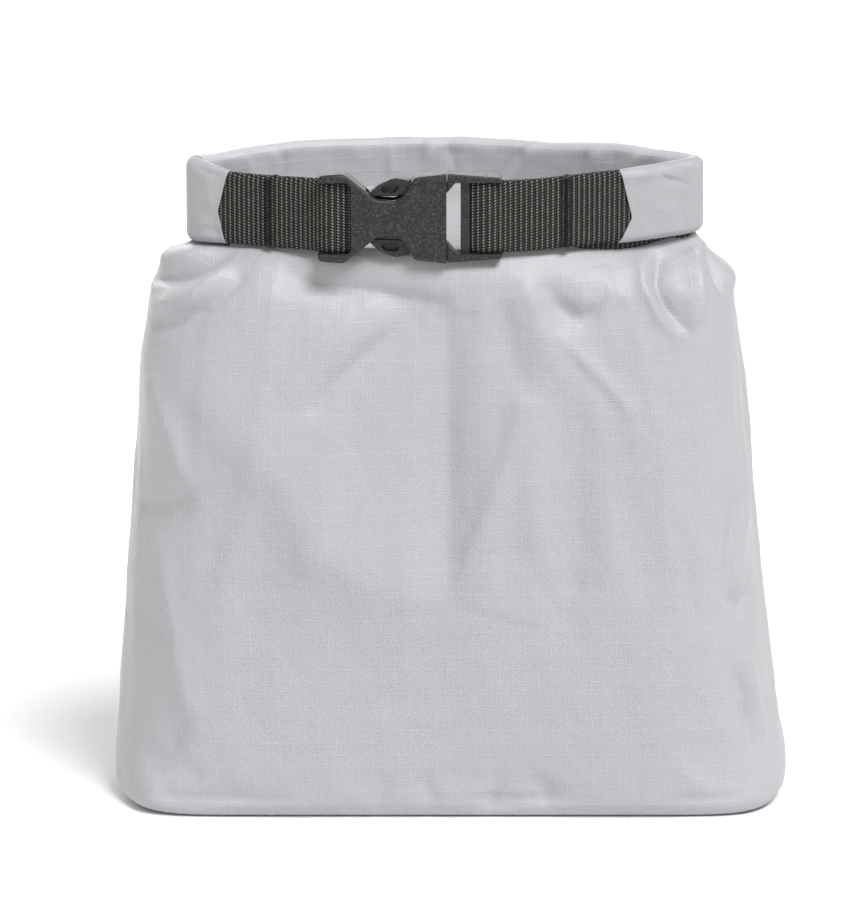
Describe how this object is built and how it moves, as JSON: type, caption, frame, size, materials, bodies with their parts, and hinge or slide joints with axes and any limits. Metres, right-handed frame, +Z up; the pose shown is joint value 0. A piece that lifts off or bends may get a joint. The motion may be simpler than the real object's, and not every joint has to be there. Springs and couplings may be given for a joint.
{
  "type": "roll-top dry bag",
  "caption": "Standing soft dry bag with a rolled top bent into a carrying ring, closed at the front by webbing straps and a side-release buckle.",
  "frame": {"origin": "centre of the bag's box on the ground it stands on", "axes": "+Z up, +X to the right as seen from the buckle side, the buckle faces -Y"},
  "size_m": [0.242, 0.08, 0.2382],
  "materials": {
    "ripstop_fabric": "coated ripstop nylon, light cool grey, soft satin",
    "seam_tape": "thin welded tape, satin",
    "webbing": "ribbed black webbing, matt",
    "thread": "black sewing thread",
    "buckle_plastic": "fine-grained black moulded plastic, satin"
  },
  "bodies": {
    "bag": {"base_panel": "ripstop_fabric", "front_panel": "ripstop_fabric", "back_panel": "ripstop_fabric", "left_seam_tape": "seam_tape", "right_seam_tape": "seam_tape", "base_seam_tape": "seam_tape"},
    "collar": {"collar_outer_turn": "ripstop_fabric", "collar_inner_turns": "ripstop_fabric", "rim_webbing": "webbing", "left_strap": "webbing", "right_strap": "webbing", "left_bar_tack": "thread", "right_bar_tack": "thread"},
    "socket": {"buckle_socket": "buckle_plastic"},
    "plug": {"buckle_plug": "buckle_plastic"},
    "upper_prong": {"upper_prong": "buckle_plastic"},
    "lower_prong": {"lower_prong": "buckle_plastic"}
  },
  "joints": [
    {"name": "collar_lift", "type": "hinge", "parent": "bag", "child": "collar", "pos_m": [0, 0.036, 0.207], "axis": [-1, 0, 0], "range_deg": [0, 25]},
    {"name": "plug_slide", "type": "slide", "parent": "collar", "child": "plug", "axis": [1, 0, 0], "range_m": [0, 0.0135], "deforming": ["upper_prong", "lower_prong", "right_strap", "right_bar_tack"]},
    {"name": "socket_slide", "type": "slide", "parent": "collar", "child": "socket", "axis": [-1, 0, 0], "range_m": [0, 0.0135], "deforming": ["left_strap", "left_bar_tack"]},
    {"name": "upper_prong_squeeze", "type": "hinge", "parent": "plug", "child": "upper_prong", "pos_m": [-0.0052, -0.03, 0.2326], "axis": [0, -1, 0], "range_deg": [0, 9], "stiffness_Nm_per_rad": 0.3},
    {"name": "lower_prong_squeeze", "type": "hinge", "parent": "plug", "child": "lower_prong", "pos_m": [-0.0052, -0.03, 0.2114], "axis": [0, 1, 0], "range_deg": [0, 9], "stiffness_Nm_per_rad": 0.3}
  ],
  "couplings": [
    {"joint": "socket_slide", "follows": "plug_slide", "ratio": 1},
    {"joint": "lower_prong_squeeze", "follows": "upper_prong_squeeze", "ratio": 1}
  ]
}
